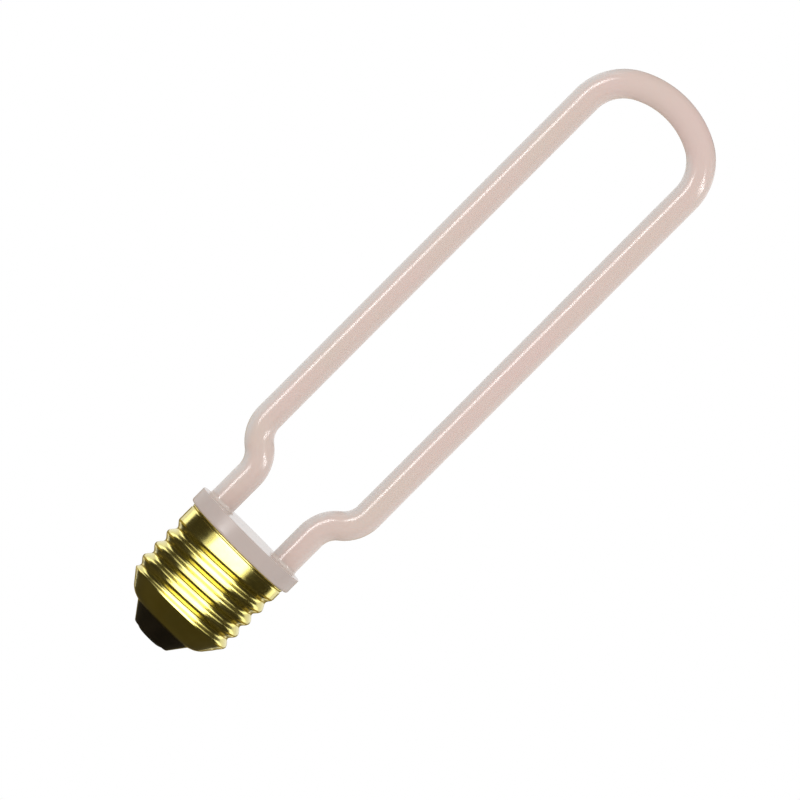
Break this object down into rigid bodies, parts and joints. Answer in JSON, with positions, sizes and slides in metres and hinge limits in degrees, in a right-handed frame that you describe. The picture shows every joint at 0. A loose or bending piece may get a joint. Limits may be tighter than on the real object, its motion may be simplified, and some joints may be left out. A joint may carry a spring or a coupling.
{
  "type": "led filament bulb",
  "caption": "Screw-cap LED lamp: a tall hairpin loop of milky light tube on a round collar and a brass screw cap, for a standard lamp holder.",
  "frame": {"origin": "middle of the centre contact's face, on the axis of the screw thread", "axes": "+Z from the contact to the top of the loop, +X to the right along the loop's width, +Y away from the viewer"},
  "size_m": [0.036, 0.028, 0.1608],
  "materials": {
    "milky_tube": "milky and glossy",
    "milky_collar": "satin",
    "brass": "bright rolled",
    "black_insulator": "glossy black",
    "contact_metal": "dull",
    "tinned_metal": "tinned",
    "board": "matt",
    "black_package": "matt",
    "capacitor_case": "glossy"
  },
  "bodies": {
    "root": {"light_tube": "milky_tube", "tube_lead_left": "tinned_metal", "tube_lead_right": "tinned_metal", "collar": "milky_collar", "screw_shell": "brass", "insulator": "black_insulator", "centre_contact": "contact_metal", "driver_board": "board", "bridge_rectifier": "black_package", "driver_chip": "black_package", "fuse_resistor": "black_package", "smoothing_capacitor": "capacitor_case", "live_lead": "tinned_metal", "neutral_lead": "tinned_metal"}
  },
  "joints": []
}
